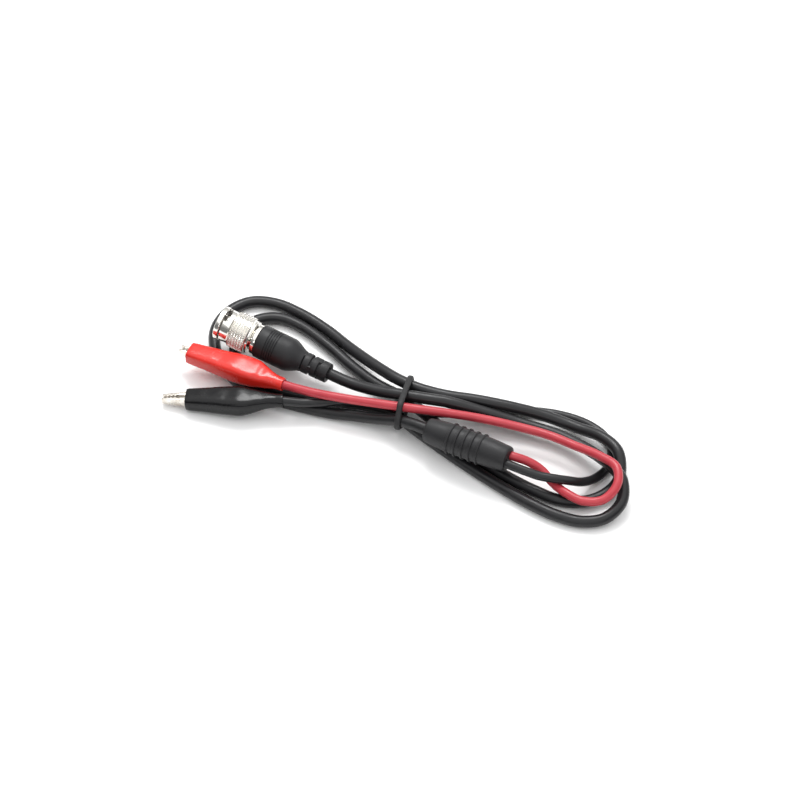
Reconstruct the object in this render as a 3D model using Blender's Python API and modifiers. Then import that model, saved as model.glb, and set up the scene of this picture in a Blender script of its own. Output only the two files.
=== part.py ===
"""Test lead: a BNC plug on a thin coaxial cable that splits into a red and a black lead,
each ending in a booted crocodile clip, folded into a flat hank and held by a rubber tie.

Lengths in the constants are in millimetres. MM turns them into Blender's metres.
The hank lies along +X, with the clips and the plug at -X, on the plane z = 0.
"""

import math

import bmesh
import bpy
from mathutils import Matrix, Vector

MM = 0.001
MERGE = 0.00001
CUTTER_TURN = 0.07

# Cords
COAX_RADIUS = 2.25
LEAD_RADIUS = 1.7
COAX_STEP = 10.4
LEAD_STEP = 7.0
TAIL_RADIUS = 0.45
DIELECTRIC_RADIUS = 1.4
BORE_CLEARANCE = 0.3

# Plug: its axis runs from the rear of the boot to the rim of the nut. Heights below are along it.
PLUG_REAR = (-34.4, 3.7, 7.6)
PLUG_RIM = (-81.8, 5.2, 13.3)
RIM_AT = 47.2
KNURL_FRONT_AT = 41.8
NUT_REAR_AT = 32.8
NUT_RADIUS = 7.25
SLEEVE_RADIUS = 6.5
NUT_BORE_RADIUS = 4.9
NUT_CAVITY_RADIUS = 5.9
NUT_CAVITY_TOP_AT = 40.2
NUT_LIP = 1.2
NUT_LIP_RADIUS = 4.75
CONTACT_RADIUS = 4.1
CONTACT_BORE_RADIUS = 3.5
CONTACT_TOP_AT = 46.2
FLANGE_TOP_AT = 39.8
FLANGE_RADIUS = 5.6
NECK_RADIUS = 4.4
REAR_FLANGE_RADIUS = 6.0
REAR_FLANGE_TOP_AT = 31.9
BARREL_TOP_AT = 30.3
BARREL_END_AT = 27.0
BARREL_RADIUS = 3.2
BARREL_BORE_RADIUS = 1.75
INSULATOR_RADIUS = 3.2
PIN_RADIUS = 0.68
WASHER_INNER = 4.7
WASHER_OUTER = 5.6
GASKET_INNER = 4.35
GASKET_OUTER = 4.7
BAYONET_SLOTS = 2
BAYONET_WIDTH = 2.2
BAYONET_START = 222.0
BAYONET_TURN = -58.0
BAYONET_FIRST = 2.0
BAYONET_DROP = 1.6
LOCK_FRONT = 1.9
LOCK_REAR = 4.65
BAYONET_SPANS = 10
CONTACT_SLITS = 4
SLIT_WIDTH = 0.5
SLIT_DEPTH = 4.5
WAVES = 3
WAVE_SPANS = 24
WAVE_AT = 36.6
WAVE_HEIGHT = 0.9
WAVE_THICKNESS = 0.3
INSULATOR_TOP_AT = 41.5
INSULATOR_END_AT = 33.4
PIN_BORE_RADIUS = 0.95
PIN_TOP_AT = 44.5
PIN_END_AT = 31.6
FERRULE_END_AT = 18.0
FERRULE_TOP_AT = 26.5
COAX_START_AT = 19.0

# Boot of the plug
BOOT_TOP_AT = 30.0
BOOT_RADIUS = 6.55
BOOT_GROOVES = 5
BOOT_GROOVE_PITCH = 0.95
BOOT_GROOVE_DEPTH = 0.35
BOOT_GROOVE_FIRST_AT = 26.0
BOOT_NECK_RADIUS = 3.25
BOOT_RINGS = ((7.8, 10.5, 4.1), (4.5, 7.0, 4.0), (0.0, 3.7, 3.9))
BOOT_TAPER_AT = 17.0
BOOT_CAVITY_RADIUS = 3.6
BOOT_CAVITY_END_AT = 17.4

# Splitter: its axis runs from the coax side to the lead side
SPLITTER_LEFT = (12.0, -7.8, 10.6)
SPLITTER_RIGHT = (45.9, -9.3, 12.0)
SPLITTER_LENGTH = 34.0
RIDGES = 5
RIDGE_FIRST_AT = 10.4
RIDGE_PITCH = 3.1
RIDGE_RADIUS = 6.1
LEAD_SPACING = 4.3
LEAD_CLEARANCE = 0.3
LEAD_START_AT = 21.0
COAX_END_AT = 7.0

# Clips: a clip's own frame has its hinge at the origin, +X to the tips, Z along the hinge
CLIP_TIP_AT = 26.5
JAW_FLAT_AT = 15.5
HANDLE_AT = -5.5
NECK_LENGTH = 3.4
SHEET = 0.4
HINGE_RADIUS = 0.7
HINGE_CLEARANCE = 0.25
HINGE_HALF = 1.9
EAR_EDGE = -1.5
JAW_EDGE = 0.2
SPRING_COIL = 1.2
SPRING_WIRE = 0.2
SPRING_HALF = 0.5
SPRING_TURNS = 2
SPRING_SIDES = 8
BOOT_WALL = 0.75
# A clip boot's outer rings: place, reach on the moving side, reach on the fixed side, half height and
# squareness. A place runs from 0 at the neck's end to 1 at the handles' end, and to 2 at the mouth.
BOOT_OUTSIDE = (
    (0.0, 2.5, 2.5, 2.5, 2.0),
    (0.22, 2.65, 2.65, 2.6, 2.0),
    (0.45, 3.1, 3.05, 2.9, 2.1),
    (0.72, 4.4, 3.7, 3.3, 2.3),
    (1.0, 5.7, 4.4, 3.7, 2.5),
    (1.13, 5.85, 4.8, 3.9, 2.7),
    (1.28, 5.6, 4.8, 4.0, 2.8),
    (1.43, 5.15, 4.6, 3.95, 2.8),
    (1.62, 4.7, 4.3, 3.7, 3.0),
    (1.81, 4.3, 4.05, 3.4, 3.2),
    (1.977, 4.0, 3.85, 3.2, 3.4),
    (2.0, 3.85, 3.7, 3.05, 3.4),
)
TOOTH_PITCH = 1.5
TEETH = 4
TOOTH_DEPTH = 0.55

# The places of each clip boot's mouth and neck, in the hank and along the clip
RED_CLIP = {"mouth": (-86.9, -10.0, 8.4), "neck": (-46.9, -9.9, 9.4), "mouth_at": 22.5, "neck_at": -17.5}
BLACK_CLIP = {"mouth": (-79.4, -27.6, 3.5), "neck": (-43.8, -16.0, 7.9), "mouth_at": 17.0, "neck_at": -20.5}

# Moves everything so that the origin is under the middle of the hank
HANK_OFFSET = (-0.5, -0.7, 0.02)

# Tie
TIE_THICKNESS = 1.3
TIE_WIDTH = 2.3
TIE_AT = -1.6
TIE_TURN = 12.0
TIE_POINTS = 32
TIE_CLEARANCE = 0.5

# The cable from the plug to the splitter, then each lead from the splitter to its clip
COAX_ROUTE = [
    (-25, 3.2, 7.2), (-15, 2.9, 8.5), (-5, 3.7, 10.1), (5, 5.5, 10.8), (14, 7.8, 10.5),
    (25.5, 10.6, 8.2), (40, 13.6, 5.4), (56, 14.8, 4.9), (69, 12.2, 6), (79, 7.8, 7.7),
    (86.5, 3, 7.8), (89.8, -4.8, 5.2), (86.8, -12.8, 3.1), (79.5, -17.4, 2.3),
    (70, -18.8, 2.3), (59, -17.8, 2.3), (46, -15.2, 2.3), (33, -12, 2.3), (20, -8.5, 2.6),
    (8, -5.4, 3.7), (-3, -1.9, 4.2), (-13, -0.9, 3.5), (-25, -2.7, 2.4), (-37, -5.5, 2.3),
    (-48, -7.5, 2.3), (-59, -7.3, 2.3), (-68.5, -3.5, 2.3), (-75, 4, 2.3), (-76.5, 13, 2.3),
    (-73, 21, 2.3), (-66, 25, 2.3), (-56.5, 24.7, 2.3), (-43, 20.3, 2.3), (-30, 14.6, 2.4),
    (-17.5, 10, 3.2), (-5.5, 7.3, 4.2), (5.5, 3.8, 4.2), (16.5, -0.5, 3.2), (27.5, -4.8, 2.4),
    (42, -9, 2.3), (57, -11.5, 2.3), (68, -11.7, 2.3), (77, -8, 2.3), (82.5, -1, 2.3),
    (84, 7, 2.7), (80, 15.5, 6.2), (72, 20, 5.9), (60, 22, 3.8), (47, 21.2, 5),
    (34, 18.1, 7), (22, 15, 8.1), (11, 12.1, 8.3), (0, 10.8, 8.4), (-9, 11.8, 8.1),
    (-19, 15.2, 6.5), (-35, 22.3, 3.3), (-47, 27.4, 2.3), (-60, 30.6, 2.3), (-71, 31.2, 2.3),
    (-80, 28, 2.3), (-85.5, 20, 2.3), (-86.2, 10, 2.3), (-82, 1, 2.3), (-74.5, -6.3, 2.3),
    (-65, -11.3, 2.3), (-53, -12.9, 2.3), (-40, -11.8, 2.3), (-28, -10, 2.5), (-19, -8.2, 3.4),
    (-11, -7.2, 4.9), (-5, -6.8, 6.7), (0.5, -6.8, 8.7), (6, -7.2, 9.9),
]
RED_ROUTE = [
    (52.5, -6.3, 11), (58, -5.9, 8.2), (63.5, -8, 6), (70, -11, 6.9), (77, -12, 7.1),
    (84, -9.2, 8.3), (86.7, -2.6, 11), (83.7, 4, 12.3), (75.5, 7.2, 11.3), (65, 9.3, 9.3),
    (54, 10.5, 8.4), (43, 9.4, 8.6), (28, 5.7, 10.3), (13.5, 0.9, 12), (4, -2.2, 12.6),
    (-10, -5.3, 12), (-22, -7.5, 11.1), (-35, -9.3, 10.1),
]
BLACK_ROUTE = [
    (53, -11.2, 11.4), (59, -10.4, 10.5), (65, -8.6, 9.9), (69.5, -6.2, 8.4), (73, -2.5, 5.4),
    (76, 3.2, 2.7), (78, 11, 1.8), (76.5, 18, 1.8), (71.5, 23.8, 1.8), (63, 26.8, 1.8),
    (52, 26.6, 1.8), (40, 23.3, 1.8), (29, 17.8, 2.2), (20, 10.9, 4.1), (12.5, 4, 7.4),
    (6, 1.1, 8.8), (-1.5, 0, 8.8), (-8, -1.7, 8.5), (-16, -3.3, 7.9), (-24.5, -6.1, 7.2),
    (-31, -9.8, 6.9), (-38, -13.6, 7.3),
]


def clear_scene():
    for obj in list(bpy.data.objects):
        bpy.data.objects.remove(obj, do_unlink=True)


def new_collection(name):
    found = bpy.data.collections.new(name)
    bpy.context.scene.collection.children.link(found)
    return found


def material(name, colour, roughness, metallic=0.0):
    made = bpy.data.materials.new(name)
    made.use_nodes = True
    shader = made.node_tree.nodes["Principled BSDF"]
    shader.inputs["Base Color"].default_value = (*colour, 1)
    shader.inputs["Roughness"].default_value = roughness
    shader.inputs["Metallic"].default_value = metallic
    return made


def add_object(name, data, mat, parent=None):
    obj = bpy.data.objects.new(name, data)
    PARTS.objects.link(obj)
    data.materials.append(mat)
    obj.parent = parent
    return obj


def smooth(obj, angle=35.0):
    obj.data.shade_smooth()
    obj.data.set_sharp_from_angle(angle=math.radians(angle))


def axis_empty(name, start, end):
    """An empty at start, with its Z axis towards end and its Y axis horizontal."""
    along = (Vector(end) - Vector(start)).normalized()
    side = Vector((0, 0, 1)).cross(along).normalized()
    across = side.cross(along)
    turn = Matrix((across, side, along)).transposed().to_4x4()
    empty = bpy.data.objects.new(name, None)
    PARTS.objects.link(empty)
    empty.matrix_world = Matrix.Translation(Vector(start) * MM) @ turn
    return empty


def clip_empty(name, clip):
    """An empty on a clip's hinge, with X towards the tips and Z up along the hinge."""
    forward = (Vector(clip["mouth"]) - Vector(clip["neck"])).normalized()
    side = Vector((0, 0, 1)).cross(forward).normalized()
    up = forward.cross(side)
    turn = Matrix((forward, side, up)).transposed().to_4x4()
    hinge = Vector(clip["mouth"]) - forward * clip["mouth_at"]
    empty = bpy.data.objects.new(name, None)
    PARTS.objects.link(empty)
    empty.matrix_world = Matrix.Translation(hinge * MM) @ turn
    return empty


def screw(mesh_obj, steps):
    turn = mesh_obj.modifiers.new("turn", "SCREW")
    turn.steps = steps
    turn.render_steps = steps
    turn.use_merge_vertices = True
    turn.merge_threshold = MERGE


def turned(name, profile, mat, parent, steps=32, ring=False):
    """A turned piece: (radius, height) points down its outer side. A ring's profile is closed."""
    mesh = bpy.data.meshes.new(name)
    edges = [(i, i + 1) for i in range(len(profile) - 1)]
    if ring:
        edges.append((len(profile) - 1, 0))
    mesh.from_pydata([(r * MM, 0, h * MM) for r, h in profile], edges, [])
    obj = add_object(name, mesh, mat, parent)
    screw(obj, steps)
    return as_mesh(obj)


def as_mesh(obj, weld=False):
    """Replaces the object's data with its evaluated mesh, so that it can be cut and shaded."""
    graph = bpy.context.evaluated_depsgraph_get()
    graph.update()
    made = bpy.data.meshes.new_from_object(obj.evaluated_get(graph))
    if weld:
        body = bmesh.new()
        body.from_mesh(made)
        bmesh.ops.remove_doubles(body, verts=body.verts, dist=MERGE)
        bmesh.ops.recalc_face_normals(body, faces=body.faces)
        body.to_mesh(made)
        body.free()
    name = obj.name
    mat = obj.active_material
    parent = obj.parent
    local = obj.matrix_local.copy()
    bpy.data.objects.remove(obj, do_unlink=True)
    made.materials.clear()
    fresh = add_object(name, made, mat, parent)
    fresh.matrix_local = local
    smooth(fresh)
    return fresh


def helper(name, mesh, parent):
    obj = bpy.data.objects.new(name, mesh)
    CUTTERS.objects.link(obj)
    obj.hide_render = True
    obj.display_type = "WIRE"
    obj.parent = parent
    return obj


def cylinder_cutter(name, radius, low, high, parent, offset=(0, 0), steps=20):
    """A cylinder along the parent's Z axis from low to high."""
    body = bmesh.new()
    bmesh.ops.create_cone(
        body, cap_ends=True, segments=steps,
        radius1=radius * MM, radius2=radius * MM, depth=(high - low) * MM,
    )
    mesh = bpy.data.meshes.new(name)
    body.to_mesh(mesh)
    body.free()
    obj = helper(name, mesh, parent)
    obj.location = Vector((offset[0], offset[1], (low + high) / 2)) * MM
    obj.rotation_euler.z = CUTTER_TURN
    return obj


def box_cutter(name, low, high, parent, turn=0.0):
    body = bmesh.new()
    bmesh.ops.create_cube(body, size=1)
    size = Vector(high) - Vector(low)
    middle = (Vector(high) + Vector(low)) / 2
    shape = Matrix.Translation(middle * MM) @ Matrix.Diagonal((*(size * MM), 1))
    bmesh.ops.transform(body, matrix=shape, verts=body.verts)
    mesh = bpy.data.meshes.new(name)
    body.to_mesh(mesh)
    body.free()
    obj = helper(name, mesh, parent)
    obj.rotation_euler = (0, 0, math.radians(turn))
    return obj


def cut(obj, cutter):
    boolean = obj.modifiers.new(cutter.name, "BOOLEAN")
    boolean.operation = "DIFFERENCE"
    boolean.object = cutter


def loft(name, rings, closed=False, caps=()):
    """A mesh through rings of equal count. A closed loft joins its last ring to its first.
    An open one gets each face of caps, given as places in a ring, at both ends."""
    count = len(rings[0])
    verts = [tuple(value * MM for value in point) for ring in rings for point in ring]
    faces = []
    spans = len(rings) if closed else len(rings) - 1
    for i in range(spans):
        here = i * count
        there = (i + 1) % len(rings) * count
        for j in range(count):
            k = (j + 1) % count
            faces.append((here + j, here + k, there + k, there + j))
    for first in (0, len(verts) - count):
        faces += [tuple(first + i for i in cap) for cap in caps]
    mesh = bpy.data.meshes.new(name)
    mesh.from_pydata(verts, [], faces)
    body = bmesh.new()
    body.from_mesh(mesh)
    bmesh.ops.recalc_face_normals(body, faces=body.faces)
    body.to_mesh(mesh)
    body.free()
    return mesh


def smooth_route(points, per_span=24):
    """Centripetal Catmull-Rom curve through the route's points, as close-set samples."""
    knots = [Vector(p) for p in points]
    knots = [knots[0] * 2 - knots[1], *knots, knots[-1] * 2 - knots[-2]]
    line = []
    for a, b, c, d in zip(knots, knots[1:], knots[2:], knots[3:]):
        t1 = math.sqrt((b - a).length)
        t2 = t1 + math.sqrt((c - b).length)
        t3 = t2 + math.sqrt((d - c).length)
        for i in range(per_span):
            t = t1 + (t2 - t1) * i / per_span
            ab = a.lerp(b, t / t1)
            bc = b.lerp(c, (t - t1) / (t2 - t1))
            cd = c.lerp(d, (t - t2) / (t3 - t2))
            abc = ab.lerp(bc, t / t2)
            bcd = bc.lerp(cd, (t - t1) / (t3 - t1))
            line.append(abc.lerp(bcd, (t - t1) / (t2 - t1)))
    line.append(knots[-2])
    return line


def even_points(line, step):
    """Points along a line at an even spacing near step."""
    total = sum((b - a).length for a, b in zip(line, line[1:]))
    count = max(2, round(total / step))
    wanted = [total * i / count for i in range(1, count)]
    found = [line[0]]
    gone = 0.0
    for a, b in zip(line, line[1:]):
        span = (b - a).length
        while wanted and wanted[0] <= gone + span:
            found.append(a.lerp(b, (wanted.pop(0) - gone) / span))
        gone += span
    found.append(line[-1])
    return found


def tube(name, points, radius, mat, parent=None, sides=2, cyclic=False):
    """A round tube along points, as a POLY curve with filled caps, then a welded mesh."""
    curve = bpy.data.curves.new(name, "CURVE")
    curve.dimensions = "3D"
    curve.bevel_depth = radius * MM
    curve.bevel_resolution = sides
    curve.use_fill_caps = not cyclic
    spline = curve.splines.new("POLY")
    spline.points.add(len(points) - 1)
    for knot, point in zip(spline.points, points):
        knot.co = (*(Vector(point) * MM), 1)
    spline.use_cyclic_u = cyclic
    return as_mesh(add_object(name, curve, mat, parent), weld=True)


def plug_point(height):
    start = Vector(PLUG_REAR)
    return start + (Vector(PLUG_RIM) - start).normalized() * height


def splitter_point(height, sideways=0.0):
    start = Vector(SPLITTER_LEFT)
    along = (Vector(SPLITTER_RIGHT) - start).normalized()
    side = Vector((0, 0, 1)).cross(along).normalized()
    return start + along * height + side * sideways


def clip_point(clip, forward):
    mouth = Vector(clip["mouth"])
    along = (mouth - Vector(clip["neck"])).normalized()
    return mouth + along * (forward - clip["mouth_at"])


def cord_points(start, route, end, step):
    """Points along a cord: straight through its ends' bores, and smooth along its route."""
    line = smooth_route([start[-1], *route, end[0]])
    return start[:-1] + even_points(line, step) + end[1:]


def coax_points():
    start = [plug_point(COAX_START_AT), plug_point(10), plug_point(-0.5)]
    end = [splitter_point(-0.5), splitter_point(COAX_END_AT)]
    return cord_points(start, COAX_ROUTE, end, COAX_STEP)


def lead_points(route, sideways, clip):
    start = [splitter_point(h, sideways) for h in (LEAD_START_AT, 28, SPLITTER_LENGTH + 0.5)]
    neck_at = clip["neck_at"]
    end = [clip_point(clip, x) for x in (neck_at - 0.5, neck_at + NECK_LENGTH)]
    return cord_points(start, route, end, LEAD_STEP)


# Plug


def build_coupling_nut(plug):
    """The knurled outer nut, with two helical bayonet slots that each end in a lock pocket."""
    rim = RIM_AT
    profile = [
        (NUT_BORE_RADIUS + 0.4, rim), (SLEEVE_RADIUS - 0.15, rim),
        (SLEEVE_RADIUS + 0.15, rim - 0.3), (SLEEVE_RADIUS + 0.15, rim - 1.0),
        (SLEEVE_RADIUS - 0.1, rim - 1.3), (SLEEVE_RADIUS - 0.1, KNURL_FRONT_AT + 0.6),
        (NUT_RADIUS, KNURL_FRONT_AT), (NUT_RADIUS, NUT_REAR_AT + 1.2),
        (NUT_RADIUS - 0.5, NUT_REAR_AT + 0.9), (NUT_RADIUS - 0.6, NUT_REAR_AT),
        (NUT_LIP_RADIUS, NUT_REAR_AT), (NUT_LIP_RADIUS, NUT_REAR_AT + NUT_LIP),
        (NUT_CAVITY_RADIUS, NUT_REAR_AT + NUT_LIP), (NUT_CAVITY_RADIUS, NUT_CAVITY_TOP_AT),
        (NUT_BORE_RADIUS, NUT_CAVITY_TOP_AT), (NUT_BORE_RADIUS, rim - 0.4),
    ]
    nut = turned("coupling_nut", profile, METAL, plug, steps=32, ring=True)
    for i in range(BAYONET_SLOTS):
        start = 360 / BAYONET_SLOTS * i + BAYONET_START
        cut(nut, bayonet_cutter(f"bayonet_{i}", start, plug))
        entry = box_cutter(
            f"entry_{i}", (NUT_BORE_RADIUS - 1, -1.1, RIM_AT - BAYONET_FIRST),
            (SLEEVE_RADIUS - 0.5, 1.1, RIM_AT + 1), plug, start,
        )
        cut(nut, entry)
        lock = box_cutter(
            f"lock_{i}", (NUT_BORE_RADIUS - 1, -1.1, RIM_AT - LOCK_REAR),
            (SLEEVE_RADIUS + 0.7, 1.1, RIM_AT - LOCK_FRONT), plug, start + BAYONET_TURN,
        )
        cut(nut, lock)


def bayonet_cutter(name, start, plug):
    """A slot that winds round the sleeve from near the rim as it deepens."""
    low, high = NUT_BORE_RADIUS - 0.6, SLEEVE_RADIUS + 0.6
    half = BAYONET_WIDTH / 2
    rings = []
    for i in range(BAYONET_SPANS + 1):
        share = i / BAYONET_SPANS
        angle = math.radians(start + BAYONET_TURN * share)
        height = RIM_AT - BAYONET_FIRST - BAYONET_DROP * share
        corners = ((low, -half), (high, -half), (high, half), (low, half))
        rings.append([
            (r * math.cos(angle), r * math.sin(angle), height + up) for r, up in corners
        ])
    return helper(name, loft(name, rings, caps=[(0, 1, 2, 3)]), plug)


def build_plug_body(plug):
    """The body with its slotted outer contact, the neck that the washers ride on and the barrel."""
    profile = [
        (CONTACT_BORE_RADIUS, CONTACT_TOP_AT), (CONTACT_RADIUS - 0.2, CONTACT_TOP_AT),
        (CONTACT_RADIUS, CONTACT_TOP_AT - 0.5), (CONTACT_RADIUS, FLANGE_TOP_AT),
        (FLANGE_RADIUS, FLANGE_TOP_AT), (FLANGE_RADIUS, FLANGE_TOP_AT - 1.2),
        (NECK_RADIUS, FLANGE_TOP_AT - 1.2), (NECK_RADIUS, REAR_FLANGE_TOP_AT),
        (REAR_FLANGE_RADIUS - 0.3, REAR_FLANGE_TOP_AT), (REAR_FLANGE_RADIUS, REAR_FLANGE_TOP_AT - 0.3),
        (REAR_FLANGE_RADIUS, BARREL_TOP_AT), (BARREL_RADIUS, BARREL_TOP_AT),
        (BARREL_RADIUS, BARREL_END_AT), (BARREL_BORE_RADIUS, BARREL_END_AT),
        (BARREL_BORE_RADIUS, INSULATOR_END_AT - 0.3), (CONTACT_BORE_RADIUS, INSULATOR_END_AT - 0.3),
    ]
    body = turned("plug_body", profile, METAL, plug, steps=24, ring=True)
    for i in range(CONTACT_SLITS // 2):
        slit = box_cutter(
            f"slit_{i}", (-CONTACT_RADIUS - 1, -SLIT_WIDTH / 2, CONTACT_TOP_AT - SLIT_DEPTH),
            (CONTACT_RADIUS + 1, SLIT_WIDTH / 2, CONTACT_TOP_AT + 1), plug, 45 + 90 * i,
        )
        cut(body, slit)


def build_wave_washer(plug):
    """A spring washer whose height waves three times round."""
    rings = []
    for i in range(WAVE_SPANS):
        angle = math.tau * i / WAVE_SPANS
        height = WAVE_AT + WAVE_HEIGHT * math.cos(WAVES * angle)
        corners = (
            (WASHER_OUTER, WAVE_THICKNESS), (WASHER_OUTER, 0), (WASHER_INNER, 0),
            (WASHER_INNER, WAVE_THICKNESS),
        )
        rings.append([
            (r * math.cos(angle), r * math.sin(angle), height + up) for r, up in corners
        ])
    add_object("wave_washer", loft("wave_washer", rings, closed=True), METAL, plug)


def washer(name, low, high, inner, outer, mat, plug):
    profile = [(inner, high), (outer, high), (outer, low), (inner, low)]
    turned(name, profile, mat, plug, steps=24, ring=True)


def build_plug_core(plug):
    """The contact pin, its insulator, and the ends of the cable inside the plug."""
    insulator = [
        (PIN_BORE_RADIUS, INSULATOR_TOP_AT), (INSULATOR_RADIUS, INSULATOR_TOP_AT),
        (INSULATOR_RADIUS, INSULATOR_END_AT), (PIN_BORE_RADIUS, INSULATOR_END_AT),
    ]
    turned("plug_insulator", insulator, PTFE, plug, steps=16, ring=True)
    pin = [
        (0, PIN_TOP_AT), (PIN_RADIUS * 0.6, PIN_TOP_AT - 0.15), (PIN_RADIUS, PIN_TOP_AT - 0.8),
        (PIN_RADIUS, PIN_END_AT), (0, PIN_END_AT),
    ]
    turned("centre_pin", pin, GOLD, plug, steps=12)
    dielectric = [
        (0, PIN_END_AT - BORE_CLEARANCE), (DIELECTRIC_RADIUS, PIN_END_AT - BORE_CLEARANCE),
        (DIELECTRIC_RADIUS, COAX_START_AT + BORE_CLEARANCE), (0, COAX_START_AT + BORE_CLEARANCE),
    ]
    turned("plug_dielectric", dielectric, PTFE, plug, steps=16)
    washer("crimp_ferrule", FERRULE_END_AT, FERRULE_TOP_AT, 2.6, BARREL_RADIUS, METAL, plug)


def boot_profile():
    """The boot's outer side, from its front edge to its rear edge."""
    side = [(BOOT_RADIUS - 0.4, BOOT_TOP_AT), (BOOT_RADIUS, BOOT_TOP_AT - 0.5)]
    groove = BOOT_GROOVE_FIRST_AT
    for _ in range(BOOT_GROOVES):
        side += [
            (BOOT_RADIUS, groove + 0.3), (BOOT_RADIUS - BOOT_GROOVE_DEPTH, groove),
            (BOOT_RADIUS, groove - 0.3),
        ]
        groove -= BOOT_GROOVE_PITCH
    side += [(BOOT_RADIUS, BOOT_TAPER_AT), (5.9, 15.0), (4.8, 12.8), (4.1, 11.3)]
    for low, high, radius in BOOT_RINGS:
        side += [
            (BOOT_NECK_RADIUS, high + 0.15), (radius - 0.2, high), (radius, high - 0.3),
            (radius, low + 0.3), (radius - 0.2, low),
        ]
        if low > 0:
            side.append((BOOT_NECK_RADIUS, low - 0.15))
    return side


def build_plug_boot(plug):
    bore = COAX_RADIUS + BORE_CLEARANCE
    inside = [
        (bore, 0), (bore, BOOT_CAVITY_END_AT), (BOOT_CAVITY_RADIUS, BOOT_CAVITY_END_AT),
        (BOOT_CAVITY_RADIUS, BOOT_TOP_AT),
    ]
    turned("plug_boot", boot_profile() + inside, BLACK_PVC, plug, steps=24, ring=True)


# Splitter


def splitter_profile():
    side = [
        (5.0, SPLITTER_LENGTH - 2.2), (5.3, SPLITTER_LENGTH - 5), (5.45, 25.5),
    ]
    for i in reversed(range(RIDGES)):
        middle = RIDGE_FIRST_AT + RIDGE_PITCH * i
        side += [
            (5.5, middle + 0.9), (RIDGE_RADIUS, middle + 0.5), (RIDGE_RADIUS, middle - 0.5),
            (5.5, middle - 0.9),
        ]
    side += [(5.2, 7.0), (4.9, 3.5), (4.5, 0.6), (4.2, 0)]
    return side


def build_splitter(frame):
    """The moulded splitter, bored for the cable and for the two leads, with a chamber between."""
    profile = [(0, SPLITTER_LENGTH), (4.5, SPLITTER_LENGTH), (4.8, SPLITTER_LENGTH - 0.6)]
    profile += splitter_profile() + [(0, 0)]
    body = turned("splitter_body", profile, BLACK_PVC, frame, steps=24)
    bore = COAX_RADIUS + BORE_CLEARANCE + 0.15
    chamber = cylinder_cutter("chamber", 3.8, 9, LEAD_START_AT + 3, frame)
    cable_bore = cylinder_cutter("cable_bore", bore, -1, 10, frame)
    cut(body, chamber)
    cut(body, cable_bore)
    for sign, label in ((1, "red"), (-1, "black")):
        lead_bore = cylinder_cutter(
            f"{label}_bore", LEAD_RADIUS + LEAD_CLEARANCE, LEAD_START_AT - 1, SPLITTER_LENGTH + 1, frame,
            offset=(0, sign * LEAD_SPACING / 2),
        )
        cut(body, lead_bore)


def build_splices(frame):
    """The cable's core and braid, each joined to a lead under a sleeve, inside the splitter."""
    half = LEAD_SPACING / 2 - 0.15
    end = COAX_END_AT
    core_stub = [
        (0, end + 3.3), (DIELECTRIC_RADIUS, end + 3.3), (DIELECTRIC_RADIUS, end + 0.3), (0, end + 0.3),
    ]
    turned("splitter_dielectric", core_stub, PTFE, frame, steps=16)
    for label, sign, start in (("core", 1, 0.0), ("braid", -1, -1.9)):
        low = end + 3.7 if label == "core" else end + 0.4
        path = smooth_route([
            (0, start, low), (0, start, low + 0.8), (0, sign * half, 14.0), (0, sign * half, 14.8),
        ], per_span=3)
        tube(f"coax_{label}_tail", path, TAIL_RADIUS, COPPER, frame)
    for label, sign in (("red", 1), ("black", -1)):
        sleeve = [(0, LEAD_START_AT - 0.4), (1.5, LEAD_START_AT - 0.4), (1.5, 15.1), (0, 15.1)]
        piece = turned(f"{label}_splice_sleeve", sleeve, SLEEVE, frame, steps=16)
        piece.location = Vector((0, sign * half, 0)) * MM


# Clips


def jaw_stations(moving):
    """(x, back, half width, edge) along a half clip: a channel whose flanks reach to its edge."""
    width = HINGE_HALF - SHEET - 0.25 if moving else HINGE_HALF
    rows = [
        (-2.2, 2.5, width, EAR_EDGE), (2.2, 2.4, width, EAR_EDGE), (4.2, 2.4, width, JAW_EDGE),
    ]
    if moving:
        rows = [(-6.0, 3.9, width - 0.1, 2.7), (-3.8, 3.2, width, 1.3)] + rows
    else:
        rows = [
            (-13.5, 1.25, 1.15, 0.3), (-11.0, 1.3, 1.2, 0.3), (-8.5, 1.9, 1.4, 0.6),
            (-5.0, 2.5, width, 1.0),
        ] + rows
    rows.append((JAW_FLAT_AT, 2.35, 1.95, JAW_EDGE))
    front = CLIP_TIP_AT - TEETH * TOOTH_PITCH
    for i in range(TEETH):
        x = front + TOOTH_PITCH * i
        share = i / TEETH
        back, half = 1.95 - 0.55 * share, 1.65 - 0.45 * share
        rows.append((x, back, half, JAW_EDGE + TOOTH_DEPTH))
        rows.append((x + TOOTH_PITCH / 2, back - 0.03, half - 0.02, JAW_EDGE))
    rows.append((CLIP_TIP_AT, 1.35, 1.15, JAW_EDGE + TOOTH_DEPTH))
    return rows


def build_half(name, side, moving, hinge):
    """One half of a clip as a folded channel. side is +1 when its back faces +Y."""
    rings = []
    for x, back, half, edge in jaw_stations(moving):
        inner = half - SHEET
        rings.append([
            (x, side * y, z) for y, z in (
                (back, -half), (back, half), (edge, half), (edge, inner),
                (back - SHEET, inner), (back - SHEET, -inner), (edge, -inner), (edge, -half),
            )
        ])
    mesh = loft(name, rings, caps=[(0, 1, 4, 5), (1, 2, 3, 4), (0, 5, 6, 7)])
    obj = add_object(name, mesh, METAL, hinge)
    radius = HINGE_RADIUS + HINGE_CLEARANCE
    cut(obj, cylinder_cutter(f"{name}_hole", radius, -4, 4, hinge, steps=12))
    return obj


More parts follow.
